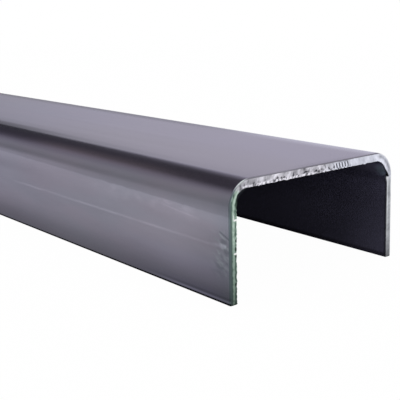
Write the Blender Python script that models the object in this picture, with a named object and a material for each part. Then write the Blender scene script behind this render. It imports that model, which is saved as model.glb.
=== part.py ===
"""Cold-formed steel u-channel, 80 x 40 x 3 mm, a one metre length.

X runs across the web, Y along the length and Z up. The channel lies on the
toes of its two flanges with the web on top. Its origin is on the floor, under
the middle of the web.
"""

import math

import bmesh
import bpy
from mathutils import Vector

# the section, in metres
web_width = 0.080  # over the outsides of the flanges
flange_height = 0.040  # from the toes to the outside of the web
wall = 0.003  # gauge of the strip, the same all the way round
inner_bend_radius = 0.006  # inside of each bend
length = 1.000  # cut length of the stock

# the edges
toe_edge_radius = 0.0003  # slit edges of the strip, eased on both sides
end_rollover = 0.0004  # outer edge of each cut end, drawn over by the blade

# facets in a quarter turn of each round
bend_steps = 16
toe_edge_steps = 3
rollover_steps = 3

# the finish of rolled strip: a purple-grey sheen
mill_finish = {
    "Base Color": (0.245, 0.235, 0.268, 1.0),
    "Metallic": 0.85,
    "Roughness": 0.38,
}

quarter_turn = math.radians(90.0)
smooth_below = math.radians(30.0)
on_plane = 1e-7  # how near a point counts as lying on a plane


def clear_scene():
    """Remove the objects that a new file starts with."""
    for obj in list(bpy.data.objects):
        bpy.data.objects.remove(obj, do_unlink=True)


def make_material(name, finish):
    """One surface with the values of a finish."""
    material = bpy.data.materials.new(name)
    material.use_nodes = True
    surface = material.node_tree.nodes["Principled BSDF"]
    for socket, value in finish.items():
        surface.inputs[socket].default_value = value
    material.diffuse_color = finish["Base Color"]
    return material


def run_straight(bm, cut, offset):
    """Carry the line across the strip straight on by an offset."""
    grown = bmesh.ops.extrude_edge_only(bm, edges=[cut])["geom"]
    verts = [item for item in grown if isinstance(item, bmesh.types.BMVert)]
    bmesh.ops.translate(bm, verts=verts, vec=offset)
    return next(item for item in grown if isinstance(item, bmesh.types.BMEdge))


def run_bend(bm, cut, centre):
    """Turn the line across the strip a quarter turn round the middle of a bend."""
    turned = bmesh.ops.spin(
        bm,
        geom=[cut] + list(cut.verts),
        cent=centre,
        axis=Vector((0.0, 1.0, 0.0)),
        angle=quarter_turn,
        steps=bend_steps,
        use_duplicate=False,
    )["geom_last"]
    return next(item for item in turned if isinstance(item, bmesh.types.BMEdge))


def fold_section(bm, start_y):
    """The strip seen from its end: flange, bend, web, bend, flange."""
    outer_bend_radius = inner_bend_radius + wall
    half_width = web_width / 2.0
    bend_height = flange_height - outer_bend_radius
    bend_from_middle = half_width - outer_bend_radius

    outer_toe = bm.verts.new((-half_width, start_y, 0.0))
    inner_toe = bm.verts.new((-half_width + wall, start_y, 0.0))
    cut = bm.edges.new((outer_toe, inner_toe))

    cut = run_straight(bm, cut, Vector((0.0, 0.0, bend_height)))
    cut = run_bend(bm, cut, Vector((-bend_from_middle, start_y, bend_height)))
    cut = run_straight(bm, cut, Vector((2.0 * bend_from_middle, 0.0, 0.0)))
    cut = run_bend(bm, cut, Vector((bend_from_middle, start_y, bend_height)))
    run_straight(bm, cut, Vector((0.0, 0.0, -bend_height)))


def draw_out(bm, distance):
    """Draw the section out along Y into a closed bar."""
    section = list(bm.faces)
    grown = bmesh.ops.extrude_face_region(bm, geom=section, use_keep_orig=True)["geom"]
    verts = [item for item in grown if isinstance(item, bmesh.types.BMVert)]
    bmesh.ops.translate(bm, verts=verts, vec=Vector((0.0, distance, 0.0)))
    bmesh.ops.recalc_face_normals(bm, faces=bm.faces)


def is_toe_edge(edge):
    """True on the four long edges of the toes."""
    first, second = (vert.co for vert in edge.verts)
    on_floor = abs(first.z) < on_plane and abs(second.z) < on_plane
    return on_floor and abs(first.y - second.y) > on_plane


def is_outer_end_edge(edge):
    """True where a cut end meets the outside of the section."""
    ends = [face for face in edge.link_faces if abs(face.normal.y) > 1.0 - on_plane]
    sides = [face for face in edge.link_faces if face not in ends]
    if len(ends) != 1 or len(sides) != 1:
        return False
    place = sides[0].calc_center_median()
    outward = Vector((place.x, 0.0, place.z))
    return sides[0].normal.dot(outward) > on_plane


def ease(bm, test, radius, steps):
    """Round every edge that passes the test."""
    edges = [edge for edge in bm.edges if test(edge)]
    bmesh.ops.bevel(
        bm,
        geom=edges,
        offset=radius,
        offset_type="OFFSET",
        segments=steps,
        profile=0.5,
        affect="EDGES",
    )
    bmesh.ops.recalc_face_normals(bm, faces=bm.faces)


def build_channel():
    """The whole piece of stock, one closed body."""
    bm = bmesh.new()
    fold_section(bm, -length / 2.0)
    draw_out(bm, length)
    ease(bm, is_toe_edge, toe_edge_radius, toe_edge_steps)
    ease(bm, is_outer_end_edge, end_rollover, rollover_steps)

    mesh = bpy.data.meshes.new("steel_channel")
    bm.to_mesh(mesh)
    bm.free()
    mesh.shade_smooth()
    mesh.set_sharp_from_angle(angle=smooth_below)
    mesh.materials.append(make_material("mill_steel", mill_finish))
    channel = bpy.data.objects.new("steel_channel", mesh)
    bpy.context.scene.collection.objects.link(channel)
    return channel


clear_scene()
build_channel()
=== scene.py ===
import math
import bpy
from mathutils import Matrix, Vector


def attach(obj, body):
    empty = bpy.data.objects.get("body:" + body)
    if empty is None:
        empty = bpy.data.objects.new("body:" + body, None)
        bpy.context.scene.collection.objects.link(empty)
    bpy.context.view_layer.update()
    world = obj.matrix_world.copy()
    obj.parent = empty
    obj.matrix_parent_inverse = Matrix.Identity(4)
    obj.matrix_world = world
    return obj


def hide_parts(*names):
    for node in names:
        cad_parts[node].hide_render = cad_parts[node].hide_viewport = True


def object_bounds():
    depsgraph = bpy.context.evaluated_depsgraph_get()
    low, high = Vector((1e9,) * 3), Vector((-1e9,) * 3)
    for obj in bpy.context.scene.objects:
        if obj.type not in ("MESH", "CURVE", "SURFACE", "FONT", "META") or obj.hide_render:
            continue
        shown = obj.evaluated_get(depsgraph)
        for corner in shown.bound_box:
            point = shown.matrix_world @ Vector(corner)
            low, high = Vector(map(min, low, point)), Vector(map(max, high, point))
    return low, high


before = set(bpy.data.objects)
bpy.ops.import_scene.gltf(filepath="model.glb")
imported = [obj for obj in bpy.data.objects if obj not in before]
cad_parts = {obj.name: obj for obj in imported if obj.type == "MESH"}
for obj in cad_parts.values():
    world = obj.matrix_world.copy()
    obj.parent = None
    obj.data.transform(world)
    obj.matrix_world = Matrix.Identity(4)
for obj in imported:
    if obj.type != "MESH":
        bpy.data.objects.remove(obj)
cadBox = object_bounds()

from types import SimpleNamespace

import bmesh
import bpy
from mathutils import Euler, Matrix

# Steel u-channel, 80 x 40 x 3 mm, lying on its toes. The end in the picture is at -Y.
mm = 0.001
hair = 0.01 * mm  # places nearer than this count as one
boxLow, boxHigh = cadBox

channelSizes = {
    "width": round(boxHigh[0] - boxLow[0], 5),
    "length": round(boxHigh[1] - boxLow[1], 5),
    "height": round(boxHigh[2] - boxLow[2], 5),
    "wall": 3 * mm,
    "outerBend": 9 * mm,
    "bendFacets": 28,
    "webColumns": 104,
    "flangeColumns": 52,
    "wallRows": 5,
    "rollover": 0.4 * mm,
    "rolloverFacets": 4,
    "toeEase": 0.3 * mm,
    "toeFacets": 3,
    "cutRoughness": 0.05 * mm,
    "burrHeight": 0.22 * mm,
    "notchPlace": (37.0 * mm, 31.0 * mm),  # across and up, on the inner bend of the right flange
    "notchReach": 0.75 * mm,
    "notchPush": (0.55 * mm, 0.60 * mm, 0.10 * mm),
    "notchDepth": 1 * mm,  # in from the end
    "endBands": (0.8 * mm, 2.5 * mm, 9 * mm, 30 * mm, 120 * mm),
    "smoothBelow": math.radians(28),
}


# picking by place or normal

def pickOnly(obj):
    bpy.ops.object.select_all(action="DESELECT")
    obj.select_set(True)
    bpy.context.view_layer.objects.active = obj


def pick(obj, kind, test):
    # kind is VERT, EDGE or FACE
    mesh = bmesh.from_edit_mesh(obj.data)
    bpy.ops.mesh.select_all(action="DESELECT")
    bpy.ops.mesh.select_mode(type=kind)
    for part in {"VERT": mesh.verts, "EDGE": mesh.edges, "FACE": mesh.faces}[kind]:
        part.select_set(test(part))
    mesh.select_flush_mode()
    bmesh.update_edit_mesh(obj.data)


def edgeSpan(edge):
    return edge.verts[1].co - edge.verts[0].co


def edgeMiddle(edge):
    return (edge.verts[1].co + edge.verts[0].co) / 2


# the channel

def bendLine():
    # the line that the right-hand bend turns round: how far across, and how high
    size = channelSizes
    return size["width"] / 2 - size["outerBend"], size["height"] - size["outerBend"]


def fromBendLine(place):
    # 9 mm on the outside of a bend, 6 mm on its inside
    bendAcross, bendUp = bendLine()
    return math.hypot(max(abs(place.x) - bendAcross, 0), max(place.z - bendUp, 0))


def fromEnd(place):
    # in from the nearer end
    return channelSizes["length"] / 2 - abs(place.y)


def foldStrip():
    size = channelSizes
    halfLength = size["length"] / 2
    square = 0.9  # a normal this far along an axis faces that way

    bpy.ops.object.select_all(action="DESELECT")
    bpy.ops.mesh.primitive_cube_add(
        size=1,
        location=(0, 0, size["height"] / 2),
        scale=(size["width"], size["length"], size["height"]),
    )
    channel = bpy.context.active_object
    channel.name = "channelBar"
    channel.data.name = "channelBar"
    bpy.ops.object.transform_apply(location=True, rotation=True, scale=True)

    bpy.ops.object.mode_set(mode="EDIT")
    # open the underside and both ends: what stays is the outside of the folded strip
    pick(channel, "FACE", lambda face: face.normal.z < -square or abs(face.normal.y) > square)
    bpy.ops.mesh.delete(type="FACE")
    # fold both long top edges round
    pick(channel, "EDGE", lambda edge: edgeMiddle(edge).z > size["height"] - hair
         and abs(edgeSpan(edge).y) > halfLength)
    bpy.ops.mesh.bevel(offset=size["outerBend"], offset_type="OFFSET",
                       segments=size["bendFacets"], profile=0.5)
    # columns along the web and the flanges, so that the cut ends can be rough
    pick(channel, "EDGE", lambda edge: abs(edgeSpan(edge).x) > size["width"] / 2)
    bpy.ops.mesh.subdivide(number_cuts=size["webColumns"])
    pick(channel, "EDGE", lambda edge: abs(edgeSpan(edge).z) > size["height"] / 2)
    bpy.ops.mesh.subdivide(number_cuts=size["flangeColumns"])
    # rings near both ends
    for inset in size["endBands"]:
        for side in (-1, 1):
            bpy.ops.mesh.select_all(action="SELECT")
            bpy.ops.mesh.bisect(plane_co=(0, side * (halfLength - inset), 0), plane_no=(0, 1, 0))
    bpy.ops.object.mode_set(mode="OBJECT")
    return channel


def giveGauge(channel):
    pickOnly(channel)
    bpy.ops.object.modifier_add(type="SOLIDIFY")
    gauge = channel.modifiers[-1]
    gauge.thickness = channelSizes["wall"]
    gauge.offset = -1
    gauge.use_even_offset = True
    gauge.use_rim = True
    bpy.ops.object.modifier_apply(modifier=gauge.name)


def easeEdges(channel):
    size = channelSizes
    sharp = 1  # radians between the faces of an edge

    def onEnd(place):
        return abs(fromEnd(place)) < hair

    def acrossWall(edge):
        first, second = edge.verts
        return abs(fromBendLine(first.co) - fromBendLine(second.co)) > size["wall"] / 2

    bpy.ops.object.mode_set(mode="EDIT")
    # rows across the wall on the cut ends
    pick(channel, "EDGE", lambda edge: onEnd(edgeMiddle(edge)) and acrossWall(edge))
    bpy.ops.mesh.subdivide(number_cuts=size["wallRows"])
    # the outer edge of each cut is drawn over
    pick(channel, "EDGE", lambda edge: all(
        onEnd(vert.co) and fromBendLine(vert.co) > size["outerBend"] - hair for vert in edge.verts))
    bpy.ops.mesh.bevel(offset=size["rollover"], offset_type="OFFSET",
                       segments=size["rolloverFacets"], profile=0.5)
    # the slit edges of the strip
    pick(channel, "EDGE", lambda edge: all(vert.co.z < hair for vert in edge.verts)
         and abs(edgeSpan(edge).y) > 5 * hair
         and len(edge.link_faces) == 2
         and edge.calc_face_angle(0) > sharp)
    bpy.ops.mesh.bevel(offset=size["toeEase"], offset_type="OFFSET",
                       segments=size["toeFacets"], profile=0.5)
    bpy.ops.object.mode_set(mode="OBJECT")


def roughenEnds(channel):
    size = channelSizes
    innerEdge = size["outerBend"] - size["wall"]

    def onCut(vert):
        return abs(fromEnd(vert.co)) < hair and vert.co.z > 2 * hair

    bpy.ops.object.mode_set(mode="EDIT")
    # saw marks over the cut faces
    pick(channel, "VERT", lambda vert: onCut(vert) and fromBendLine(vert.co) > innerEdge + hair)
    bpy.ops.transform.vertex_random(offset=size["cutRoughness"], uniform=0, normal=0, seed=7)
    # a torn burr along the inner edge
    pick(channel, "VERT", lambda vert: onCut(vert) and abs(fromBendLine(vert.co) - innerEdge) < hair)
    bpy.ops.transform.vertex_random(offset=size["burrHeight"], uniform=0, normal=0, seed=21)
    # the nick in the right-hand inner bend
    across, up = size["notchPlace"]
    pick(channel, "VERT", lambda vert: vert.co.y < size["notchDepth"] - size["length"] / 2
         and math.hypot(vert.co.x - across, vert.co.z - up) < size["notchReach"])
    bpy.ops.transform.translate(value=size["notchPush"])
    # one point in place of two where the roundings meet at the corners of the toes
    bpy.ops.mesh.select_all(action="SELECT")
    bpy.ops.mesh.remove_doubles(threshold=hair / 10)
    bpy.ops.object.mode_set(mode="OBJECT")


def paintCuts(channel):
    # slot 0 is the rolled surface, slot 1 the cut faces
    deadSquare = 0.999
    channel.data.materials.clear()
    channel.data.materials.append(makeMillSteel())
    channel.data.materials.append(makeCutSteel())
    pickOnly(channel)
    bpy.ops.object.mode_set(mode="EDIT")
    pick(channel, "FACE", lambda face: abs(face.normal.y) > deadSquare)
    channel.active_material_index = 1
    bpy.ops.object.material_slot_assign()
    bpy.ops.object.mode_set(mode="OBJECT")


# shader sums

class Wire:
    def __init__(self, tree, socket=None):
        self.tree = tree
        self.socket = socket

    def node(self, kind, settings=None, sockets=None, output=0):
        made = self.tree.nodes.new(kind)
        for name, value in (settings or {}).items():
            setattr(made, name, value)
        for name, value in (sockets or {}).items():
            if isinstance(value, Wire):
                self.tree.links.new(value.socket, made.inputs[name])
            else:
                made.inputs[name].default_value = value
        return Wire(self.tree, made.outputs[output])

    def other(self, output):
        return Wire(self.tree, self.socket.node.outputs[output])

    def parts(self):
        first = self.node("ShaderNodeSeparateXYZ", {}, {0: self})
        return first, first.other(1), first.other(2)

    def maths(self, operation, first, second=0.0):
        return self.node("ShaderNodeMath", {"operation": operation}, {0: first, 1: second})

    def __add__(self, other):
        return self.maths("ADD", self, other)

    __radd__ = __add__

    def __sub__(self, other):
        return self.maths("SUBTRACT", self, other)

    def __rsub__(self, other):
        return self.maths("SUBTRACT", other, self)

    def __mul__(self, other):
        return self.maths("MULTIPLY", self, other)

    __rmul__ = __mul__

    def __truediv__(self, other):
        return self.maths("DIVIDE", self, other)

    def __rtruediv__(self, other):
        return self.maths("DIVIDE", other, self)

    def __abs__(self):
        return self.maths("ABSOLUTE", self)

    def atLeast(self, other):
        return self.maths("MAXIMUM", self, other)

    def atMost(self, other):
        return self.maths("MINIMUM", self, other)

    def root(self):
        return self.maths("SQRT", self)

    def angleTo(self, other):
        return self.maths("ARCTAN2", self, other)

    def between(self, low, high, first, last, kind="LINEAR"):
        # low to high becomes first to last, and stays there outside
        return self.node("ShaderNodeMapRange", {"interpolation_type": kind, "clamp": True},
                         {0: self, 1: low, 2: high, 3: first, 4: last})

    def rise(self, low, high):
        return self.between(low, high, 0.0, 1.0, "SMOOTHSTEP")

    def fall(self, low, high):
        return self.between(low, high, 1.0, 0.0, "SMOOTHSTEP")

    def span(self, start, end):
        # 1 from start to end, each a low and a high that it changes between
        return self.rise(*start) * self.fall(*end)

    def ridge(self, middle, reach):
        # 1 on the middle, 0 from reach away
        return abs(self - middle).fall(0.0, reach)

    def spread(self, first, last):
        # 0 to 1 becomes first to last
        return self.between(0.0, 1.0, first, last)

    def varied(self, amount):
        # 0 to 1 becomes 1, give or take the amount
        return self.spread(1 - amount, 1 + amount)

    def mix(self, first, second):
        # from the first colour to the second
        return self.node("ShaderNodeMix", {"data_type": "RGBA"}, {0: self, 6: first, 7: second}, output=2)

    def tinted(self, colour):
        return self.node("ShaderNodeVectorMath", {"operation": "SCALE"}, {0: colour, 3: self})


def grain(place, stretch, size, detail=2.0, shift=(0.0, 0.0, 0.0), turn=0.0):
    # noise drawn out along an axis; size is in waves a metre, turn is about X
    turned = place.node("ShaderNodeMapping", {}, {"Vector": place, "Rotation": (turn, 0.0, 0.0)})
    moved = place.node("ShaderNodeMapping", {}, {"Vector": turned, "Scale": stretch, "Location": shift})
    return place.node("ShaderNodeTexNoise", {"noise_dimensions": "3D"},
                      {"Vector": moved, "Scale": size, "Detail": detail, "Roughness": 0.55})


def spot(first, second, middle, reach, core=0.35):
    # 1 in the core of an oval, 0 outside it
    byFirst = (first - middle[0]) / reach[0]
    bySecond = (second - middle[1]) / reach[1]
    return (byFirst * byFirst + bySecond * bySecond).fall(core, 1.0)


def newMaterial(name):
    material = bpy.data.materials.new(name)
    material.use_nodes = True
    tree = material.node_tree
    return material, Wire(tree), tree.nodes["Principled BSDF"]


def plug(wire, socket):
    wire.tree.links.new(wire.socket, socket)


def stripPlace(x, z):
    # along the folded strip from the middle of the web, and through its wall from the inside
    size = channelSizes
    bendAcross, bendUp = bendLine()
    across = (abs(x) - bendAcross).atLeast(0)
    up = (z - bendUp).atLeast(0)
    radius = (across * across + up * up).root()
    turned = across.angleTo(up.atLeast(hair / 10)) * (size["outerBend"] - size["wall"] / 2)
    along = abs(x).atMost(bendAcross) + turned + (bendUp - z.atMost(bendUp))
    return along, radius - (size["outerBend"] - size["wall"])


def readPlaces(wire):
    # where a point of the surface is, on the channel and on its folded strip
    size = channelSizes
    at = SimpleNamespace()
    at.place = wire.node("ShaderNodeTexCoord", output=3)
    at.x, at.y, at.z = at.place.parts()
    at.along, at.depth = stripPlace(at.x, at.z)
    at.inFromPicture = at.y + size["length"] / 2
    at.inFromEnd = size["length"] / 2 - abs(at.y)
    return at


# the rolled surface of the strip

millFinish = {
    "metallic": 1.0,
    "insideMetallic": 0.80,
    "roughness": 0.26,
    "roughnessVaries": 0.015,
    "edgeSheen": (0.75, 0.73, 0.87, 1.0),  # of what it mirrors at a flat angle
    "outsideUnder": (1.6 * mm, 0.8 * mm),  # below the outer surface
    "flangeBelow": (32 * mm, 37 * mm),
    "nearFlange": (-39.4 * mm, -38.6 * mm),
    "webAbove": (36 * mm, 38 * mm),

    "warm": (0.306, 0.287, 0.345, 1.0),
    "cool": (0.294, 0.289, 0.346, 1.0),
    # the bluer colour of the painted shade low on the near flange
    "shadeBlue": (0.250, 0.246, 0.356, 1.0),
    "web": (0.306, 0.287, 0.300, 1.0),
    "webRight": (0.306, 0.287, 0.320, 1.0),
    "bend": (0.284, 0.250, 0.345, 1.0),
    # the warm tint of the painted highlight low in the bend
    "bendHighlightWarm": (0.312, 0.262, 0.325, 1.0),
    # the darker, bluer colour of the painted shade on the flange right by the end
    "end": (0.236, 0.249, 0.300, 1.0),
    # the painted reflection along the far bend
    "farRimReflection": (0.64, 0.64, 0.68, 1.0),
    # painted shade: the inside of the trough is darker and bluer, and less metallic
    "inside": (0.170, 0.163, 0.250, 1.0),
    "rubbedAndHighlight": (0.42, 0.47, 0.50, 1.0),
    "stained": (0.11, 0.135, 0.155, 1.0),

    "rolling": {"streaks": 0.015, "clouds": 0.06, "tooth": 0.01},
    "drifts": (0.38, 0.62),  # in the noise, from warm to cool
    "reflectionEdge": {
        # a painted reflection edge along the flange, lighter below and darker above
        "heights": (28.5 * mm, 30.4 * mm),  # at the picture's end, and where its run ends
        "run": 145 * mm,
        "softness": 0.45 * mm,
        "fray": 0.5 * mm,
        "darkOver": 0.12,
        "lightFrom": (-7.0 * mm, -0.8 * mm),  # measured from the mark
        "light": 0.08,
        "fleckedFrom": (10 * mm, 22 * mm),
        "fleckedTo": (60 * mm, 90 * mm),
        "flecked": 0.05,
        "flecks": 0.15,
        "fleckEdge": (0.42, 0.70),  # in the noise
        "border": (2.6 * mm, 2.4 * mm),  # over the mark, and its reach
        "darkBorder": 0.12,
        "farPatch": (25.5 * mm, 3.8 * mm),
        "farPatchFrom": (105 * mm, 140 * mm),
        "darkFarPatch": 0.10,
        "smears": 0.14,
    },
    "scratch": {
        "height": 18.4 * mm,
        "width": 0.75 * mm,
        "waver": 0.35 * mm,
        "patchEdge": (0.36, 0.60),  # in the noise
        "thinnest": 0.35,
        "deeper": 0.6,
        "deeperTo": (8 * mm, 22 * mm),
        "fades": (125 * mm, 150 * mm),
        "lastTo": (4 * mm, 12 * mm),  # the last stretch is straight, higher and wider, with a glint
        "lastLift": 0.45 * mm,
        "lastWider": 0.40 * mm,
        "glint": (0.9, 1.5),
        "glintFrom": (1.2 * mm, 2.0 * mm),
        "brightGlintTo": (2.5 * mm, 6 * mm),
        "light": 0.26,
    },
    "shortScratch": {
        "height": 24.4 * mm,
        "slope": 0.075,
        "width": 0.50 * mm,
        "from": (13 * mm, 17 * mm),
        "to": (30 * mm, 36 * mm),
        "light": 0.09,
    },
    "flangeShade": {  # painted shade on the near flange by the end, darker and bluer low down
        "half": {"reach": 30 * mm, "below": (19 * mm, 27 * mm), "darker": 0.20},
        "foot": {"reach": 95 * mm, "below": (9 * mm, 17 * mm), "darker": 0.08, "bluer": 0.35},
        "low": {"reach": 85 * mm, "below": (1.0 * mm, 8 * mm), "darker": 0.16, "bluer": 0.75},
    },
    # painted shade on the flange right by the end
    "endShade": {"reach": 10 * mm, "strength": 0.65},
    "bends": {  # each along the folded strip, and over a run in from the picture's end
        # painted shade where the web runs into the bend, painted light under it, and painted highlights
        # along both sides of its middle
        "shoulder": (30.2 * mm, 6.2 * mm),
        "shoulderRun": (35 * mm, 150 * mm),
        "shoulderDark": (0.12, 0.76),
        "slope": ((16 * mm, 27 * mm), (31 * mm, 35 * mm)),
        "slopeRun": (60 * mm, 165 * mm),
        "slopeDark": (0.06, 0.32),
        "nearHalf": (-10 * mm, 0),  # of the web, across
        "under": ((36.6 * mm, 38.4 * mm), (40.4 * mm, 43.4 * mm)),
        "underLight": 0.15,
        # painted highlights along both sides of the bend's dark middle
        "lowerRub": (36.4 * mm, 2.6 * mm),
        "lowerRubRun": ((0, 55 * mm), (100 * mm, 145 * mm)),
        "lowerRubLight": 0.62,
        "upperBendHighlight": (33.4 * mm, 1.6 * mm),
        "upperBendHighlightRun": (10 * mm, 60 * mm),
        "upperBendHighlightStrength": 0.25,
        "purple": (36 * mm, 4.8 * mm),
        "soft": (25 * mm, 35 * mm),
        "softRun": (90 * mm, 170 * mm),
        "softDrop": 0.45 * mm,
    },
    "toe": {
        # painted shade along the toe where it stands on the floor, with a thin lighter line
        "fades": (16 * mm, 52 * mm),
        "line": (1.15 * mm, 0.55 * mm),
        "lineLight": 0.75,
        "shade": (2.05 * mm, 0.7 * mm),
        "shadeDark": 0.24,
        "slitInside": (1.0 * mm, 2.2 * mm),
        "slitOutside": (0.55 * mm, 0.85 * mm),
        "slitDark": (0.60, 0.92),  # inside and outside
    },
    "webTone": {
        "driftRight": (-14 * mm, 10 * mm),
        "upTo": (30 * mm, 33 * mm),  # along the strip
        "fades": (90 * mm, 200 * mm),
        # the painted reflection along the far bend
        "paleRimFrom": (24 * mm, 33 * mm),
        "paleRimFades": (45 * mm, 120 * mm),
        # painted shade far along the right side of the web, and in a line by the cut
        "farFrom": (5 * mm, 22 * mm),
        "farRun": (45 * mm, 85 * mm),
        "farDark": 0.06,
        "endTo": (1.5 * mm, 5.0 * mm),
        "endAcross": ((-16 * mm, -2 * mm), (12 * mm, 26 * mm)),
        "endAbove": (38 * mm, 39 * mm),
        "endDark": 0.16,
    },
    "strokes": {  # rubbed and stained, by the end of the near flange
        "to": (2 * mm, 12 * mm),
        "heights": ((7 * mm, 12 * mm), (22 * mm, 24.5 * mm)),
        "patchEdge": (0.48, 0.68),  # in the noise
        "strength": 0.45,
        "gougeHeight": 20.2 * mm,
        "gougeSlope": 0.48,
        "gougeWidth": 0.60 * mm,
        "gougeReach": ((1.4 * mm, 2.4 * mm), (4.2 * mm, 5.4 * mm)),
        "gouge": 0.55,
        "arcHeight": 21.4 * mm,
        "arcSlope": 0.42,
        "arcWidth": 0.55 * mm,
        "arcTo": (4.0 * mm, 5.4 * mm),
        "arc": 0.65,
        "blotPlace": (2.8 * mm, 20.4 * mm),
        "blotReach": (2.2 * mm, 1.2 * mm),
        "blot": 0.4,
    },
    "drawnOver": {  # the outer edge of the cut
        "to": (0.28 * mm, 0.50 * mm),
        "bendFrom": (31.5 * mm, 34 * mm),
        "bendTo": (39 * mm, 42 * mm),
        "farBendLonger": 9 * mm,
        "acrossTo": 30 * mm,
        "brightAbove": (36 * mm, 38.5 * mm),
        "web": (0.232, 0.222, 0.262, 1.0),
        "teal": (0.160, 0.200, 0.222, 1.0),
        # painted highlights on the drawn-over rim round the bends
        "nearBend": (0.48, 0.52, 0.515, 1.0),
        "farBend": (0.92, 0.93, 0.96, 1.0),
        "rimHighlight": 0.9,
        "lessMetallic": 0.75,
        "rougher": 0.15,
    },
    "trough": {
        # painted shade right at the end and deep inside, painted light from the open end behind it
        "darkTo": (0.3 * mm, 1.0 * mm),
        "dark": 0.5,
        "lightTo": (3 * mm, 24 * mm),
        "lightFlange": (34 * mm, 36.5 * mm),
        "light": 0.42,
        "deepFrom": (25 * mm, 75 * mm),
        "deepDark": 0.22,
        "paleSpotPlace": (2.0 * mm, 32.7 * mm),  # in from the end and up, in the right-hand bend
        "paleSpotReach": (3.6 * mm, 2.9 * mm),
        "paleSpotFrom": (33 * mm, 35 * mm),
        "paleSpotLight": 0.70,
        "paleSpot": (0.150, 0.180, 0.235, 1.0),
    },
}


def readRolled(wire):
    # the places again, with the sides of the strip
    finish = millFinish
    wall = channelSizes["wall"]
    at = readPlaces(wire)
    deep, shallow = finish["outsideUnder"]
    at.outside = at.depth.rise(wall - deep, wall - shallow)
    at.inside = 1 - at.outside
    at.flange = at.z.fall(*finish["flangeBelow"])
    at.nearFlange = at.x.fall(*finish["nearFlange"])
    at.web = at.z.rise(*finish["webAbove"])
    at.streaks = grain(at.place, stretch=(1.0, 0.012, 1.0), size=380.0)
    bends = finish["bends"]
    # the painted highlight low in the bend
    at.lowerRub = at.along.ridge(*bends["lowerRub"]) * at.inFromPicture.span(*bends["lowerRubRun"])
    return at


def rollingTone(at):
    # rolling streaks, cloudy patches and a fine tooth
    rolling = millFinish["rolling"]
    clouds = grain(at.place, stretch=(1.0, 0.30, 1.0), size=42.0, detail=3.0)
    tooth = grain(at.place, stretch=(1.0, 0.10, 1.0), size=1500.0, detail=1.0)
    tone = at.streaks.varied(rolling["streaks"]) * clouds.varied(rolling["clouds"])
    return tone * tooth.varied(rolling["tooth"])


def reflectionEdgeTone(at):
    # a painted reflection edge along the flange: a little brighter below it, with flecks under the border,
    # darker above it and on the border, with a darker patch far in; smears of tone over the flange
    mark = millFinish["reflectionEdge"]
    overMark = at.z - at.inFromPicture.between(0, mark["run"], *mark["heights"])
    fray = grain(at.place, stretch=(0.0, 1.0, 0.0), size=160.0, detail=3.0)
    above = overMark + fray.spread(-mark["fray"], mark["fray"])
    above = above.rise(-mark["softness"], mark["softness"])
    below = overMark.rise(*mark["lightFrom"]) * (1 - above)
    flecks = grain(at.place, stretch=(1.0, 0.40, 1.0), size=300.0, detail=4.0, shift=(1.0, 0.0, 2.0))
    flecks = flecks.rise(*mark["fleckEdge"])
    flecked = at.inFromPicture.span(mark["fleckedFrom"], mark["fleckedTo"])
    light = below * (mark["light"] + flecked * (mark["flecked"] + flecks * mark["flecks"]))
    farPatch = at.z.ridge(*mark["farPatch"]) * at.inFromPicture.rise(*mark["farPatchFrom"])
    dark = above * mark["darkOver"] + overMark.ridge(*mark["border"]) * mark["darkBorder"]
    dark = dark + farPatch * mark["darkFarPatch"]
    smears = grain(at.place, stretch=(1.0, 0.16, 1.0), size=120.0, detail=4.0, shift=(0.0, 3.0, 1.0))
    return 1 + at.flange * (light - dark + smears.spread(-mark["smears"], mark["smears"]))


def scratchTone(at):
    # the long scratch along the near flange, and a short one over it
    long = millFinish["scratch"]
    waver = grain(at.place, stretch=(0.0, 1.0, 0.0), size=60.0).spread(-long["waver"], long["waver"])
    patchy = grain(at.place, stretch=(0.2, 1.0, 0.2), size=34.0, shift=(3.0, 1.0, 0.0))
    patchy = patchy.rise(*long["patchEdge"]).spread(long["thinnest"], 1.0)
    last = at.inFromPicture.fall(*long["lastTo"])
    worn = patchy * (1 + at.inFromPicture.fall(*long["deeperTo"]) * long["deeper"])
    worn = worn * at.inFromPicture.fall(*long["fades"]) * (1 - last)
    glintLow, glintMore = long["glint"]
    glint = glintLow + at.inFromPicture.fall(*long["brightGlintTo"]) * glintMore
    glint = glint * at.inFromPicture.rise(*long["glintFrom"])
    height = at.z + waver * (1 - last) - last * long["lastLift"]
    scratch = height.ridge(long["height"], last * long["lastWider"] + long["width"])
    scratch = scratch * (worn + glint * last)

    short = millFinish["shortScratch"]
    second = (at.z - at.inFromPicture * short["slope"]).ridge(short["height"], short["width"])
    second = second * at.inFromPicture.span(short["from"], short["to"])
    return 1 + at.nearFlange * (scratch * long["light"] + second * short["light"])


def bendTone(at):
    bends = millFinish["bends"]
    # painted shade where the web runs into the bend, more so further in
    shoulder = at.along.ridge(*bends["shoulder"])
    shoulder = shoulder * at.inFromPicture.between(*bends["shoulderRun"], *bends["shoulderDark"])
    slope = at.along.span(*bends["slope"]) * at.x.fall(*bends["nearHalf"])
    slope = slope * at.inFromPicture.between(*bends["slopeRun"], *bends["slopeDark"])
    # painted light below that, and painted highlights along both sides of the bend's dark middle
    under = at.along.span(*bends["under"]) * at.outside * bends["underLight"]
    upperBendHighlight = at.along.ridge(*bends["upperBendHighlight"]) * at.inFromPicture.rise(*bends["upperBendHighlightRun"])
    rubbedAndHighlight = at.lowerRub * bends["lowerRubLight"] + upperBendHighlight * bends["upperBendHighlightStrength"]
    return (1 - shoulder * at.outside) * (1 - slope * at.outside) * (1 + under) * (1 + at.outside * rubbedAndHighlight)


# where the painted shade on the near flange falls
def flangeShadePlace(at, stretch):
    return at.inFromPicture.fall(0, stretch["reach"]) * at.z.fall(*stretch["below"])


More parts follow.
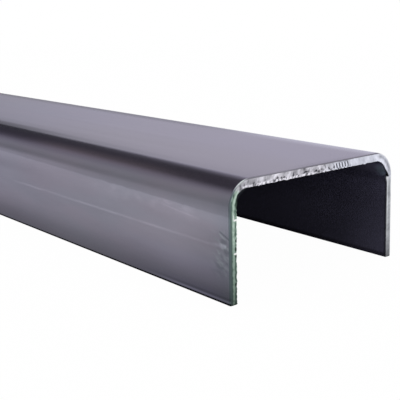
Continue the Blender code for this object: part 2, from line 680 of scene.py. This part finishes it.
def flangeShadeTone(at):
    tone = 1
    for stretch in millFinish["flangeShade"].values():
        tone = (1 - flangeShadePlace(at, stretch) * stretch["darker"]) * tone
    return tone


def toeTone(at):
    # painted shade along the toe, where it stands on the floor: a dark line and a dark slit edge, with a
    # thin lighter line between
    toe = millFinish["toe"]
    nearEnd = at.inFromPicture.fall(*toe["fades"]) * at.outside
    line = at.z.ridge(*toe["line"]) * nearEnd
    shade = at.z.ridge(*toe["shade"]) * nearEnd
    slitLow = at.outside.spread(toe["slitInside"][0], toe["slitOutside"][0])
    slitHigh = at.outside.spread(toe["slitInside"][1], toe["slitOutside"][1])
    slit = at.z.fall(slitLow, slitHigh) * at.outside.spread(*toe["slitDark"])
    return (1 + line * toe["lineLight"]) * (1 - shade * toe["shadeDark"]) * (1 - slit)


def webTone(at):
    # painted shade far along its right side, and in a line by the cut
    web = millFinish["webTone"]
    far = at.x.rise(*web["farFrom"]) * at.inFromPicture.rise(*web["farRun"]) * at.web
    byCut = at.inFromPicture.fall(*web["endTo"]) * at.x.span(*web["endAcross"])
    byCut = byCut * at.z.rise(*web["endAbove"])
    return (1 - far * web["farDark"]) * (1 - byCut * web["endDark"])


def troughTone(at, paleSpot):
    # painted shade right at the end, painted light from the open end behind it, painted shade again deep
    # inside, and lighter at the pale spot
    trough = millFinish["trough"]
    dark = at.inFromEnd.fall(*trough["darkTo"]) * at.inside
    light = at.inFromEnd.fall(*trough["lightTo"]) * at.inside * at.x.rise(*trough["lightFlange"])
    deep = at.inFromEnd.rise(*trough["deepFrom"]) * at.inside
    tone = (1 - dark * trough["dark"]) * (1 + light * trough["light"]) * (1 - deep * trough["deepDark"])
    return tone * (1 + paleSpot * trough["paleSpotLight"])


def sheenColour(at):
    # warmer and cooler drifts, purple in the bends, a warm tint on the painted highlight low in the bend,
    # and painted shade, darker and bluer, low down and by the end
    finish = millFinish
    web = finish["webTone"]
    drift = grain(at.place, stretch=(1.0, 0.22, 1.0), size=75.0, detail=3.0, shift=(4.0, 0.0, 0.0))
    sheen = drift.rise(*finish["drifts"]).mix(finish["warm"], finish["cool"])
    webSheen = at.x.rise(*web["driftRight"]).mix(finish["web"], finish["webRight"])
    sheen = (at.along.fall(*web["upTo"]) * at.inFromPicture.fall(*web["fades"])).mix(sheen, webSheen)
    sheen = at.along.ridge(*finish["bends"]["purple"]).mix(sheen, finish["bend"])
    # the painted highlight low in the bend is tinted warm
    sheen = at.lowerRub.mix(sheen, finish["bendHighlightWarm"])
    low, foot = finish["flangeShade"]["low"], finish["flangeShade"]["foot"]
    bluer = (flangeShadePlace(at, low) * low["bluer"]).atLeast(flangeShadePlace(at, foot) * foot["bluer"])
    sheen = bluer.mix(sheen, finish["shadeBlue"])
    # painted shade by the end
    endShade = finish["endShade"]
    byEnd = at.inFromPicture.fall(0, endShade["reach"]) * at.flange * endShade["strength"]
    sheen = byEnd.mix(sheen, finish["end"])
    # a painted reflection, paler along the far bend
    paleRimReflection = at.x.rise(*web["paleRimFrom"]) * at.inFromPicture.fall(*web["paleRimFades"]) * at.web
    return paleRimReflection.mix(sheen, finish["farRimReflection"])


def markEnd(at, colour):
    # rubbed and stained strokes, a gouge and a dark arc over it
    finish = millFinish
    strokes = finish["strokes"]
    rubbedAndHighlight = grain(at.place, stretch=(1.0, 1.0, 0.45), size=520.0, detail=3.0, turn=1.12)
    stained = grain(at.place, stretch=(1.0, 1.0, 0.45), size=480.0, detail=3.0,
                    shift=(0.0, 2.0, 5.0), turn=1.15)
    marked = at.inFromPicture.fall(*strokes["to"]) * at.nearFlange * at.z.span(*strokes["heights"])
    marked = marked * strokes["strength"]
    colour = (rubbedAndHighlight.rise(*strokes["patchEdge"]) * marked).mix(colour, finish["rubbedAndHighlight"])
    colour = (stained.rise(*strokes["patchEdge"]) * marked).mix(colour, finish["stained"])

    gouge = at.z - at.inFromPicture * strokes["gougeSlope"]
    gouge = gouge.ridge(strokes["gougeHeight"], strokes["gougeWidth"])
    gouge = gouge * at.inFromPicture.span(*strokes["gougeReach"]) * at.nearFlange
    colour = (gouge * strokes["gouge"]).mix(colour, finish["rubbedAndHighlight"])
    arc = at.z - at.inFromPicture * strokes["arcSlope"]
    arc = arc.ridge(strokes["arcHeight"], strokes["arcWidth"]) * at.inFromPicture.fall(*strokes["arcTo"])
    blot = spot(at.inFromPicture, at.z, strokes["blotPlace"], strokes["blotReach"], core=0.0)
    dark = (arc * strokes["arc"]).atLeast(blot * strokes["blot"]) * at.nearFlange
    return dark.mix(colour, finish["stained"])


def makeMillSteel():
    finish = millFinish
    material, wire, surface = newMaterial("millSteel")
    at = readRolled(wire)

    trough = finish["trough"]
    # a lighter, bluer spot inside the right-hand bend by the end
    paleSpot = spot(at.inFromPicture, at.z, trough["paleSpotPlace"], trough["paleSpotReach"], core=0.0)
    paleSpot = paleSpot * at.inside * at.x.rise(*trough["paleSpotFrom"])

    tone = rollingTone(at) * reflectionEdgeTone(at) * scratchTone(at) * flangeShadeTone(at)
    tone = tone * bendTone(at) * toeTone(at) * webTone(at) * troughTone(at, paleSpot)

    # the inside takes the darker colour, painted shade in the trough
    colour = at.outside.mix(finish["inside"], sheenColour(at))
    colour = markEnd(at, colour)

    # drawn over at the cut: darker on the web, teal down the left flange, and painted highlights round the
    # bends
    edge = finish["drawnOver"]
    drawnOver = at.inFromEnd.fall(*edge["to"]) * at.outside
    farSide = at.x.rise(-edge["acrossTo"], edge["acrossTo"])
    bend = (at.along - farSide * edge["farBendLonger"]).fall(*edge["bendTo"])
    bend = at.along.rise(*edge["bendFrom"]) * bend
    colour = (drawnOver * (1 - bend) * (1 - at.flange)).mix(colour, edge["web"])
    colour = (drawnOver * at.nearFlange).mix(colour, edge["teal"])
    nearBend = at.z.rise(*edge["brightAbove"]).mix(edge["teal"], edge["nearBend"])
    colour = (drawnOver * bend * edge["rimHighlight"]).mix(colour, farSide.mix(nearBend, edge["farBend"]))
    colour = paleSpot.mix(colour, trough["paleSpot"])

    plug(tone.tinted(colour), surface.inputs["Base Color"])
    metallic = at.outside.spread(finish["insideMetallic"], finish["metallic"])
    # less metallic on the far bend's rim, so that its painted highlight shows
    plug(metallic - drawnOver * bend * farSide * edge["lessMetallic"], surface.inputs["Metallic"])
    surface.inputs["Specular Tint"].default_value = finish["edgeSheen"]
    varies = finish["roughnessVaries"]
    rough = at.streaks.spread(finish["roughness"] - varies, finish["roughness"] + varies)
    plug(rough + drawnOver * edge["rougher"], surface.inputs["Roughness"])

    # far from the picture's end the web runs into the bend more softly
    bends = finish["bends"]
    soft = at.along.rise(*bends["soft"]) * at.inFromPicture.rise(*bends["softRun"])
    soft = soft * at.x.fall(*bends["nearHalf"])
    rounded = wire.node("ShaderNodeBump", {},
                        {"Height": soft * -bends["softDrop"], "Distance": 1.0, "Strength": 1.0})
    plug(rounded, surface.inputs["Normal"])
    return material


# the cut faces

cutFinish = {
    "metallic": 1.0,
    "roughness": 0.40,
    "lean": 0.30,  # of the marks, along the strip for each step through the wall
    "picturedHalf": (-0.1, 0.1),  # along the bar: only this half's end is torn, bitten and green
    "rightHalf": (-0.5 * mm, 0.5 * mm),
    "marksChange": (-0.1 * mm, 0.1 * mm),  # the right half has marks of its own

    "silver": (0.93, 0.91, 1.00, 1.0),
    "blueSilver": (0.86, 0.88, 1.00, 1.0),
    "paleSilver": (0.90, 0.93, 0.985, 1.0),
    "pit": (0.02, 0.02, 0.03, 1.0),
    # near black, for painted shade
    "torn": (0.012, 0.014, 0.018, 1.0),
    # the white of the painted highlights
    "highlightWhite": (1.0, 1.0, 1.0, 1.0),
    # the colours of the painted green reflection on the left flange's cut
    "green": (0.33, 0.45, 0.375, 1.0),
    "deepGreen": (0.10, 0.16, 0.13, 1.0),
    # the dark green of the painted shade spots
    "greenShade": (0.015, 0.03, 0.022, 1.0),
    "mint": (0.52, 0.65, 0.575, 1.0),
    "mintLow": (0.335, 0.433, 0.405, 1.0),
    "teal": (0.110, 0.152, 0.150, 1.0),

    "level": {  # 0 is a dark pit, 1 bright metal
        "middle": 0.56,
        "strokes": 0.6,
        "patches": 1.7,
        "pits": 0.5,
        "pitted": (1.15 * mm, 1.25 * mm),  # how far through the wall, and its reach
        "pitEdge": (0.36, 0.46),  # in the noise
        "pitDepth": (0.20, 0.55),  # away from the middle of the web, and on it
        "pitsWithin": (18 * mm, 26 * mm),
        "burr": (0.55 * mm, 0.95 * mm),
        "burrTeeth": 0.70,
        "toothEdge": (0.44, 0.52),  # in the noise
        "burrGaps": 0.22,
        "duller": 0.10,
        "dullerFrom": (22 * mm, 30 * mm),
        "limits": (0.04, 1.0),
    },
    "leftBendShade": {  # painted shade on the inner edge of the cut inside the left bend, a wide one with a deeper one in it
        "wide": (36.0 * mm, 5.6 * mm),  # its middle along the strip, and its reach
        "wideDepth": 0.75 * mm,
        "deep": (38.2 * mm, 2.4 * mm),
        "deepDepth": 0.55 * mm,
        "edge": (-0.15 * mm, 0.15 * mm),
        "fades": (0, 0.2 * mm),
    },
    "comb": {  # strokes right of the middle of the web
        "from": (8.0 * mm, 9.0 * mm),
        "to": (15.5 * mm, 16.5 * mm),
        "through": ((0.2 * mm, 0.6 * mm), (1.9 * mm, 2.4 * mm)),
        "pitch": 1.45 * mm,
        "brightest": 1.1,
    },
    "smooth": {  # from there into the bend, and down the right flange
        "from": (15.5 * mm, 19 * mm),
        "level": (0.80, 0.9, 0.4),  # the middle one, and what patches and strokes change
        "rimFrom": (31.5 * mm, 34 * mm),
        "rimTo": (39 * mm, 43 * mm),
        "rimDark": 0.06,
        "rimInner": (0.6 * mm, 1.1 * mm),
        "rimInnerLight": 0.22,
        "rimOuter": (1.8 * mm, 0.8 * mm),
        "rimOuterDark": 0.32,
        "downFrom": (42 * mm, 46 * mm),
        "downLevel": (0.42, 0.5, 0.4),
        "downLine": (0.9 * mm, 0.6 * mm),
        "downLineLight": (0.04, 0.34),
        "downLineUp": (5 * mm, 20 * mm),
        "downOuter": (2.0 * mm, 2.5 * mm),
        "downOuterLight": 0.14,
        "downInner": (0.30 * mm, 0.60 * mm),
        "blueTo": 12 * mm,
    },
    "leaf": {  # the green-tinted left flange, a painted green reflection
        "within": (-36.4 * mm, -34.6 * mm),
        "below": (35.6 * mm, 37.7 * mm),
        "uneven": 1.6,
        "line": (1.28 * mm, 0.80 * mm),
        "lineLight": (0.26, 0.80),
        "edge": (0.1 * mm, 0.4 * mm),
        "edgeLight": 0.2,
        "lowTo": 24 * mm,
        "lowDark": 0.26,
        "highFrom": (32.5 * mm, 35 * mm),
        "highLight": 0.18,
        "lowMint": (17 * mm, 21 * mm),
        "greenFrom": (0.12, 0.50),
        "mintFrom": (0.58, 0.86),
        "tealDepth": (1.70 * mm, 1.98 * mm),  # at the toe and at the bend
        "tealUpTo": 32 * mm,
        "tealEdge": (-0.15 * mm, 0.20 * mm),
        "tealBelow": (31 * mm, 35 * mm),
        # how strongly the painted shade spots darken it
        "pits": 0.90,
    },
    "highlightSpots": {  # painted highlights on the nicks of that flange, each at a place across and up
        "upperNick": {"place": (-37.5 * mm, 27.4 * mm), "reach": (0.90 * mm, 0.42 * mm)},
        "overNick": {"place": (-38.2 * mm, 28.2 * mm), "reach": (0.30 * mm, 1.0 * mm), "strength": 0.55},
        "middleNick": {"place": (-37.5 * mm, 16.6 * mm), "reach": (0.90 * mm, 0.42 * mm)},
    },
    # painted shade round the nicks, and along the inner edge at the top and in the bend
    "shadeSpots": {
        "overMiddle": {"place": (-37.35 * mm, 18.1 * mm), "reach": (0.60 * mm, 0.85 * mm)},
        "underMiddle": {"place": (-37.3 * mm, 15.7 * mm), "reach": (0.50 * mm, 0.45 * mm)},
        "betweenNicks": {"place": (-37.3 * mm, 20.8 * mm), "reach": (0.45 * mm, 0.60 * mm)},
        "lower": {"place": (-37.4 * mm, 6.7 * mm), "reach": (0.45 * mm, 0.5 * mm)},
        "top": {"place": (-36.9 * mm, 32.4 * mm), "reach": (0.70 * mm, 2.4 * mm), "strength": 0.9},
        "inBend": {"place": (-35.3 * mm, 36.4 * mm), "reach": (0.80 * mm, 1.3 * mm), "strength": 0.8},
    },
    "bite": {  # out of the right-hand inner bend, measured from the nick in the shape; its hollow painted dark as shade, with a painted highlight on the step under it
        "up": (-0.3 * mm, 2.6 * mm),
        "depths": (1.5 * mm, 0.0),  # from the lower to the upper of those
        "edge": (-0.25 * mm, 0.20 * mm),
        "from": (-0.7 * mm, -0.4 * mm),
        "to": (2.3 * mm, 2.8 * mm),
        "stepPlace": (0.6 * mm, -1.1 * mm),
        "stepReach": (0.9 * mm, 0.55 * mm),
        "stepHighlight": 0.35,
    },
}


def readCut(wire):
    # the places again, and the marks of the blade along the strip and through its wall
    at = readPlaces(wire)
    finish = cutFinish
    at.pictured = at.y.fall(*finish["picturedHalf"])
    at.right = at.x.rise(*finish["rightHalf"])
    leaning = at.along + at.depth * finish["lean"]
    apart = at.x.rise(*finish["marksChange"])
    at.sheet = wire.node("ShaderNodeCombineXYZ", {}, {0: leaning, 1: at.depth, 2: apart})
    at.strokes = grain(at.sheet, stretch=(1.0, 0.30, 20.0), size=1300.0)
    at.pits = grain(at.sheet, stretch=(1.0, 0.85, 20.0), size=700.0, shift=(0.0, 0.0, 7.0))
    at.patches = grain(at.sheet, stretch=(1.0, 0.8, 20.0), size=330.0, shift=(2.0, 0.0, 3.0))
    leftBendShade = finish["leftBendShade"]
    # how far the painted shade reaches into the cut inside the left bend
    torn = at.along.ridge(*leftBendShade["wide"]) * leftBendShade["wideDepth"]
    torn = torn + at.along.ridge(*leftBendShade["deep"]) * leftBendShade["deepDepth"]
    at.torn = torn * (1 - at.right) * at.pictured
    return at


def sawnLevel(at):
    # blade marks through the wall, torn pits, and a bright burr on the inner edge
    values = cutFinish["level"]
    teeth = grain(at.sheet, stretch=(1.0, 0.5, 20.0), size=800.0, shift=(5.0, 0.0, 1.0))
    level = values["middle"] + (at.strokes - 0.5) * values["strokes"]
    level = level + (at.patches - 0.5) * values["patches"] + (at.pits - 0.5) * values["pits"]
    pitDepth = at.along.fall(*values["pitsWithin"]).spread(*values["pitDepth"])
    level = level - at.pits.fall(*values["pitEdge"]) * at.depth.ridge(*values["pitted"]) * pitDepth
    burr = (at.depth - at.torn).fall(*values["burr"])
    return level + burr * (teeth.rise(*values["toothEdge"]) * values["burrTeeth"] - values["burrGaps"])


def combLevel(at, level):
    values = cutFinish["comb"]
    bandLength = 2 * math.pi / 20  # of the bands pattern at scale 1
    comb = at.sheet.node("ShaderNodeTexWave", {"wave_type": "BANDS", "bands_direction": "X"},
                         {"Vector": at.sheet, "Scale": bandLength / values["pitch"], "Distortion": 2.0,
                          "Detail": 1.0, "Detail Scale": 300.0},
                         output=1)
    combed = at.along.span(values["from"], values["to"]) * at.right * at.depth.span(*values["through"])
    return level * (1 - combed) + combed * comb.spread(0.0, values["brightest"])


def smoothLevel(at, level):
    # smoother and brighter into the bend, grey round its outside and down the right flange
    values = cutFinish["smooth"]

    def calmLevel(middle, patches, strokes):
        return middle + (at.patches - 0.5) * patches + (at.strokes - 0.5) * strokes

    smooth = at.right * at.along.rise(*values["from"])
    rim = at.along.span(values["rimFrom"], values["rimTo"])
    inner = at.depth.fall(*values["rimInner"]) * values["rimInnerLight"]
    outer = at.depth.ridge(*values["rimOuter"]) * values["rimOuterDark"]
    calm = calmLevel(*values["level"]) - rim * values["rimDark"] + rim * (inner - outer)

    down = at.right * at.along.rise(*values["downFrom"])
    lineLight = at.z.between(*values["downLineUp"], *values["downLineLight"])
    worn = calmLevel(*values["downLevel"]) + at.depth.ridge(*values["downLine"]) * lineLight
    worn = worn + at.depth.rise(*values["downOuter"]) * values["downOuterLight"]
    worn = worn * at.depth.rise(*values["downInner"])
    return level * (1 - smooth) + smooth * (calm * (1 - down) + down * worn)


def brightColour(at):
    # the bare metal of the web, the right-hand bend and the right flange
    finish = cutFinish
    values = finish["level"]
    level = smoothLevel(at, combLevel(at, sawnLevel(at)))
    # near the left bend the strip is duller
    level = level * (1 - (1 - at.right) * at.along.rise(*values["dullerFrom"]) * values["duller"])
    lowest, highest = values["limits"]
    level = level.atLeast(lowest).atMost(highest)
    blue = at.right * at.along.rise(0, finish["smooth"]["blueTo"])
    silver = blue.mix(finish["silver"], finish["blueSilver"])
    down = at.right * at.along.rise(*finish["smooth"]["downFrom"])
    return level.mix(finish["pit"], down.mix(silver, finish["paleSilver"]))


def spots(at, kinds):
    strongest = at.z * 0
    for kind in kinds.values():
        found = spot(at.x, at.z, kind["place"], kind["reach"]) * kind.get("strength", 1)
        strongest = strongest.atLeast(found)
    return strongest


def leafColour(at):
    # the green-tinted left flange, a painted green reflection: mint outside, deep green at the inner edge
    finish = cutFinish
    values = finish["leaf"]
    uneven = grain(at.sheet, stretch=(1.0, 1.2, 20.0), size=650.0, detail=3.0, shift=(0.0, 4.0, 2.0))
    shade = (uneven - 0.5) * values["uneven"]
    shade = shade + at.depth.ridge(*values["line"]).spread(*values["lineLight"])
    shade = shade + at.depth.fall(*values["edge"]) * values["edgeLight"]
    shade = shade - at.z.fall(0, values["lowTo"]) * values["lowDark"]
    shade = shade + at.z.rise(*values["highFrom"]) * values["highLight"]
    mint = at.z.fall(*values["lowMint"]).mix(finish["mint"], finish["mintLow"])
    leaf = shade.rise(*values["greenFrom"]).mix(finish["deepGreen"], finish["green"])
    leaf = shade.rise(*values["mintFrom"]).mix(leaf, mint)
    tealFrom = at.z.between(0, values["tealUpTo"], *values["tealDepth"])
    teal = (at.depth - tealFrom).rise(*values["tealEdge"]) * at.z.fall(*values["tealBelow"])
    leaf = teal.mix(leaf, finish["teal"])
    # painted shade spots, then painted highlights
    leaf = (spots(at, finish["shadeSpots"]) * values["pits"]).mix(leaf, finish["greenShade"])
    return spots(at, finish["highlightSpots"]).mix(leaf, finish["highlightWhite"])


def shadeAndNick(at, colour):
    finish = cutFinish
    # painted shade on the inner edge of the cut inside the left bend
    values = finish["leftBendShade"]
    leftBendShade = (at.torn - at.depth).rise(*values["edge"]) * at.torn.rise(*values["fades"])
    colour = leftBendShade.mix(colour, finish["torn"])
    # a bite out of the right-hand inner bend, its hollow painted dark as shade, with a painted highlight
    # on the step under it
    values = finish["bite"]
    across, nick = channelSizes["notchPlace"]
    up = at.z - nick
    bite = at.depth - up.between(*values["up"], *values["depths"])
    bite = bite.fall(*values["edge"]) * up.span(values["from"], values["to"]) * at.right * at.pictured
    colour = bite.mix(colour, finish["torn"])
    stepHighlight = spot(at.x - across, up, values["stepPlace"], values["stepReach"]) * at.pictured
    return (stepHighlight * values["stepHighlight"]).mix(colour, finish["highlightWhite"])


def makeCutSteel():
    finish = cutFinish
    material, wire, surface = newMaterial("cutSteel")
    at = readCut(wire)
    leaf = finish["leaf"]
    # the painted green reflection on the left flange's cut
    green = at.x.fall(*leaf["within"]) * at.z.fall(*leaf["below"]) * at.pictured
    colour = green.mix(brightColour(at), leafColour(at))
    plug(shadeAndNick(at, colour), surface.inputs["Base Color"])
    surface.inputs["Metallic"].default_value = finish["metallic"]
    surface.inputs["Roughness"].default_value = finish["roughness"]
    return material


channel = foldStrip()
giveGauge(channel)
easeEdges(channel)
paintCuts(channel)
roughenEnds(channel)
pickOnly(channel)
bpy.ops.object.shade_smooth_by_angle(angle=channelSizes["smoothBelow"])
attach(channel, "root")
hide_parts("steel_channel")
print("channel made:", len(channel.data.polygons), "faces")


# floor and light

floorValues = {
    "size": 40.0,
    "colour": (0.86, 0.86, 0.87, 1.0),
    "roughness": 0.9,
    "shine": 0.1,
    "shown": 0.985,
    "whiteFrom": (0.35, 1.6),
    # how bright the steel mirrors it: under the bar, at its mouth, and further and further off; a painted
    # shadow round and under the bar, lighter at its mouth
    "under": 0.035,
    "underFrom": (0.2 * mm, 1.5 * mm),
    "mouth": 0.12,
    "mouthDepth": 45 * mm,
    "beside": 0.34,
    "clear": 0.75,
    "clearFrom": 30 * mm,
    "open": 0.88,
    "openFrom": (40 * mm, 75 * mm),
    "away": 0.56,
    "awayFrom": (110 * mm, 240 * mm),
    "front": 1.0,
    "frontFrom": (-0.62, -0.50),
    "right": 1.0,
    "rightFrom": (0.12, 0.60),
}

lightValues = {  # places are directions: to the right, ahead and up, each -1 to 1
    "world": 0.62,
    "leftWall": 0.50,
    "rightWall": 0.95,
    "wallTurn": (-0.3, 0.6),
    "ceilingLevel": (0.088, 0.012),
    "ceilingDarkens": (0.55, 0.66),
    "ceilingFoot": (-0.06, 0.03),
    "ceilingLowest": 0.20,
    "ceilingLean": 0.55,
    "ceilingLeft": (-0.78, -0.06),
    "ceilingLeftAt": 0.55,
    "ceilingRight": (0.42, 0.80),
    "ceilingRightAt": 0.3,
    "ceilingRightLean": 0.4,
    "ceilingTop": (0.88, 0.98),
    "ceilingAhead": (-0.1, 0.3),
    "overhead": 0.42,
    "overheadFrom": (0.90, 1.0),
    "lampSize": 3.0,
    "lampPlace": (0, -0.3, 2.4),
    "lampPower": 30.0,
}


def rayKinds(wire):
    # straight, mirrored and through glass: the rays that show the background
    camera = wire.node("ShaderNodeLightPath", output="Is Camera Ray")
    return camera, camera.other("Is Glossy Ray"), camera.other("Is Transmission Ray")


def mirroredFloor(x, y, away):
    # painted shadow in what the steel mirrors: darker close to the bar, darkest under it
    values = floorValues
    level = away.rise(0, values["clearFrom"]).spread(values["beside"], values["clear"])
    level = level + away.rise(*values["openFrom"]) * (values["open"] - values["clear"])
    level = level * away.fall(*values["awayFrom"]).spread(values["away"] / values["open"], 1.0)
    level = level.atLeast(y.fall(*values["frontFrom"]) * values["front"])
    level = level.atLeast(x.rise(*values["rightFrom"]) * values["right"])
    under = away.fall(*values["underFrom"])
    mouth = (channelSizes["length"] / 2 - abs(y)).fall(0, values["mouthDepth"])
    return level * (1 - under) + under * mouth.spread(values["under"], values["mouth"])


def makeFloor():
    values = floorValues
    size = channelSizes
    bpy.ops.object.select_all(action="DESELECT")
    bpy.ops.mesh.primitive_plane_add(size=values["size"], location=(0, 0, 0))
    floor = bpy.context.active_object
    floor.name = "studioFloor"
    material, wire, surface = newMaterial("studioFloor")
    surface.inputs["Base Color"].default_value = values["colour"]
    surface.inputs["Roughness"].default_value = values["roughness"]
    surface.inputs["Specular IOR Level"].default_value = values["shine"]

    x, y = wire.node("ShaderNodeTexCoord", output=3).parts()[:2]
    beside = (abs(x) - size["width"] / 2).atLeast(0)
    beyond = (abs(y) - size["length"] / 2).atLeast(0)
    away = (beside * beside + beyond * beyond).root()
    camera, glossy, through = rayKinds(wire)

    # straight on: near white, with the shadow left in it, and pure white far off
    shown = away.rise(*values["whiteFrom"]).spread(values["shown"], 1.0)
    shown = shown * (camera + through).atMost(1)
    white = wire.node("ShaderNodeEmission", {}, {"Color": (1, 1, 1, 1), "Strength": 1.0})
    lit = Wire(material.node_tree, surface.outputs[0])
    straight = wire.node("ShaderNodeMixShader", {}, {0: shown, 1: lit, 2: white})
    # what the steel mirrors of the floor glows, with the painted shadow in it
    mirrored = mirroredFloor(x, y, away).tinted((1, 1, 1))
    mirrored = wire.node("ShaderNodeEmission", {}, {"Color": mirrored, "Strength": 1.0})
    mixed = wire.node("ShaderNodeMixShader", {}, {0: glossy, 1: straight, 2: mirrored})
    plug(mixed, material.node_tree.nodes["Material Output"].inputs["Surface"])
    floor.data.materials.append(material)


def roomLevel(direction):
    # walls dimmer on the left and bright on the right, a dark ceiling ahead, a soft light overhead
    values = lightValues
    side, ahead, height = direction.parts()
    walls = side.rise(*values["wallTurn"]).spread(values["leftWall"], values["rightWall"])
    foot = (side * values["ceilingLean"]).atLeast(values["ceilingLowest"])
    ceiling = (height - foot).rise(*values["ceilingFoot"])
    ceiling = ceiling * (side + (height - values["ceilingLeftAt"])).rise(*values["ceilingLeft"])
    leaning = (height - values["ceilingRightAt"]) * values["ceilingRightLean"]
    ceiling = ceiling * (side + leaning).fall(*values["ceilingRight"])
    ceiling = ceiling * height.fall(*values["ceilingTop"]) * ahead.rise(*values["ceilingAhead"])
    ceilingLevel = height.between(*values["ceilingDarkens"], *values["ceilingLevel"])
    room = walls * (1 - ceiling) + ceiling * ceilingLevel
    return room + height.rise(*values["overheadFrom"]) * values["overhead"]


def lightStudio():
    values = lightValues
    world = bpy.data.worlds.new("studio")
    bpy.context.scene.world = world
    world.use_nodes = True
    wire = Wire(world.node_tree)
    camera, glossy, through = rayKinds(wire)
    mirrored = roomLevel(wire.node("ShaderNodeTexCoord", output=0))
    shown = (camera + through).atMost(1)
    level = shown + (1 - shown) * (glossy * mirrored + (1 - glossy) * values["world"])
    background = world.node_tree.nodes["Background"]
    plug(level.tinted((1, 1, 1)), background.inputs["Color"])
    background.inputs["Strength"].default_value = 1.0

    lamp = bpy.data.lights.new("overhead", "AREA")
    lamp.shape = "SQUARE"
    lamp.size = values["lampSize"]
    lamp.energy = values["lampPower"]
    hung = bpy.data.objects.new("overhead", lamp)
    bpy.context.scene.collection.objects.link(hung)
    hung.location = values["lampPlace"]


makeFloor()
lightStudio()
print("studio lit")


# the picture's viewpoint

cameraValues = {
    "place": (-0.20870, -0.69053, 0.09482),
    "heading": 0.6909,  # turned from +Y towards +X
    "tilt": 0.13915,  # looking down
    "roll": -0.01473,
    "lens": 75.995,
    "sensor": 36,
    "rise": -0.199,  # the photograph is cut from a larger, level one: its uprights stay parallel
    "nearest": 0.01,
}


def setCamera():
    values = cameraValues
    lens = bpy.data.cameras.new("photoCamera")
    lens.lens = values["lens"]
    lens.sensor_width = values["sensor"]
    lens.shift_y = values["rise"]
    lens.clip_start = values["nearest"]
    camera = bpy.data.objects.new("photoCamera", lens)
    bpy.context.scene.collection.objects.link(camera)
    turn = Euler((math.pi / 2 - values["tilt"], 0, -values["heading"])).to_matrix()
    turn = turn @ Matrix.Rotation(values["roll"], 3, "Z")
    camera.location = values["place"]
    camera.rotation_euler = turn.to_euler()
    bpy.context.scene.camera = camera


setCamera()
bpy.context.scene.view_settings.view_transform = "Standard"
